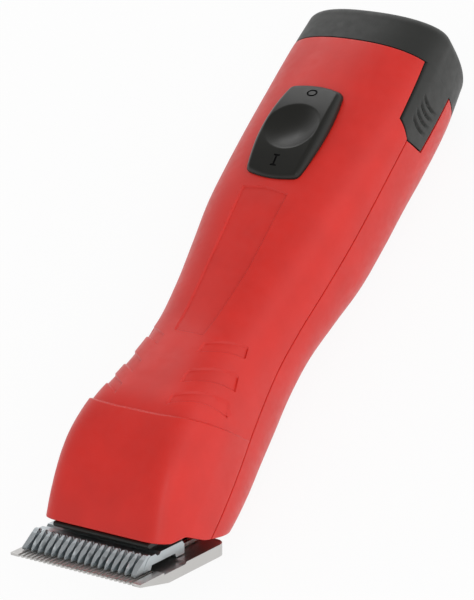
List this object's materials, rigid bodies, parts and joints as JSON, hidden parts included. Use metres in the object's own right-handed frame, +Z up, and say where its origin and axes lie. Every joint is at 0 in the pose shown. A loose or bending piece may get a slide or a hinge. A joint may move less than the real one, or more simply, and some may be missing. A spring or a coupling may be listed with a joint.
{
  "type": "cordless animal clipper",
  "caption": "Cordless animal clipper: waisted two-part handle, fold-open detachable comb and cutter blades, thumb slider and slide-out battery pack.",
  "frame": {"origin": "on the surface the clipper lies on, below the middle of its box", "axes": "+X to the clipper's right side, +Y along the handle towards the battery, +Z up out of the thumb slider's side"},
  "size_m": [0.0532, 0.208, 0.0509],
  "materials": {
    "red_shell": "satin moulded, fine grain",
    "charcoal_battery": "matt moulded",
    "black_plastic": "satin moulded",
    "blade_steel": "ground and lapped",
    "motor_steel": "drawn",
    "bright_steel": "plated",
    "brass": "plain",
    "nylon": "plain",
    "board": "lacquered"
  },
  "bodies": {
    "housing": {"upper_housing": "red_shell", "lower_housing": "red_shell", "head_insert": "black_plastic", "motor_end_cap": "black_plastic", "micro_switch": "black_plastic", "contact_block": "black_plastic", "motor_can": "motor_steel", "housing_screw_1": "bright_steel", "housing_screw_2": "bright_steel", "housing_screw_3": "bright_steel", "housing_screw_4": "bright_steel", "motor_mount": "bright_steel", "gear_axle": "bright_steel", "gear_frame": "bright_steel", "frame_screw_1": "bright_steel", "frame_screw_2": "bright_steel", "lever_pin": "bright_steel", "hinge_pin": "bright_steel", "hinge_bracket": "bright_steel", "bracket_screw_1": "bright_steel", "bracket_screw_2": "bright_steel", "board_screw_1": "bright_steel", "board_screw_2": "bright_steel", "contact_spring_1": "brass", "contact_spring_2": "brass", "contact_spring_3": "brass", "circuit_board": "board"},
    "battery": {"battery_case": "charcoal_battery", "battery_terminal_1": "brass", "battery_terminal_2": "brass", "battery_terminal_3": "brass"},
    "latch_right": {"latch_arm_right": "charcoal_battery"},
    "latch_left": {"latch_arm_left": "charcoal_battery"},
    "slider": {"switch_slider": "black_plastic", "switch_carrier": "nylon"},
    "gear": {"crank_gear": "nylon", "crank_pin": "bright_steel"},
    "pinion": {"motor_pinion": "brass", "motor_shaft": "bright_steel"},
    "lever": {"swing_lever": "blade_steel"},
    "blade": {"comb_blade": "blade_steel", "blade_screw_1": "bright_steel", "blade_screw_2": "bright_steel", "blade_socket": "bright_steel", "tension_spring_left": "bright_steel", "tension_spring_right": "bright_steel", "hinge_tongue": "bright_steel"},
    "cutter": {"cutter_blade": "blade_steel"}
  },
  "joints": [
    {"name": "battery_slide", "type": "slide", "parent": "housing", "child": "battery", "axis": [0, 1, 0], "range_m": [0, 0.045]},
    {"name": "latch_right_press", "type": "hinge", "parent": "battery", "child": "latch_right", "pos_m": [0.0254, 0.0894, 0.028], "axis": [0, 0, -1], "range_deg": [0, 4], "stiffness_Nm_per_rad": 0.5},
    {"name": "latch_left_press", "type": "hinge", "parent": "battery", "child": "latch_left", "pos_m": [-0.0254, 0.0894, 0.028], "axis": [0, 0, 1], "range_deg": [0, 4], "stiffness_Nm_per_rad": 0.5},
    {"name": "switch_slide", "type": "slide", "parent": "housing", "child": "slider", "axis": [0, -1, 0], "range_m": [0, 0.005]},
    {"name": "gear_spin", "type": "hinge", "parent": "housing", "child": "gear", "pos_m": [0, -0.0375, 0.0322], "axis": [0, 1, 0], "continuous": true},
    {"name": "pinion_spin", "type": "hinge", "parent": "housing", "child": "pinion", "pos_m": [0, -0.0375, 0.0195], "axis": [0, 1, 0], "continuous": true},
    {"name": "lever_swing", "type": "hinge", "parent": "housing", "child": "lever", "pos_m": [0, -0.06, 0.0315], "axis": [0, 0, 1], "range_deg": [0, 5.4]},
    {"name": "blade_fold", "type": "hinge", "parent": "housing", "child": "blade", "pos_m": [0, -0.06934, 0.01232], "axis": [1, 0, 0], "range_deg": [0, 45]},
    {"name": "cutter_stroke", "type": "slide", "parent": "blade", "child": "cutter", "axis": [1, 0, 0], "range_m": [0, 0.0025]}
  ],
  "couplings": [
    {"joint": "pinion_spin", "follows": "gear_spin", "ratio": -2.5},
    {"joint": "lever_swing", "follows": "cutter_stroke", "rad_per_m": 37.594}
  ]
}
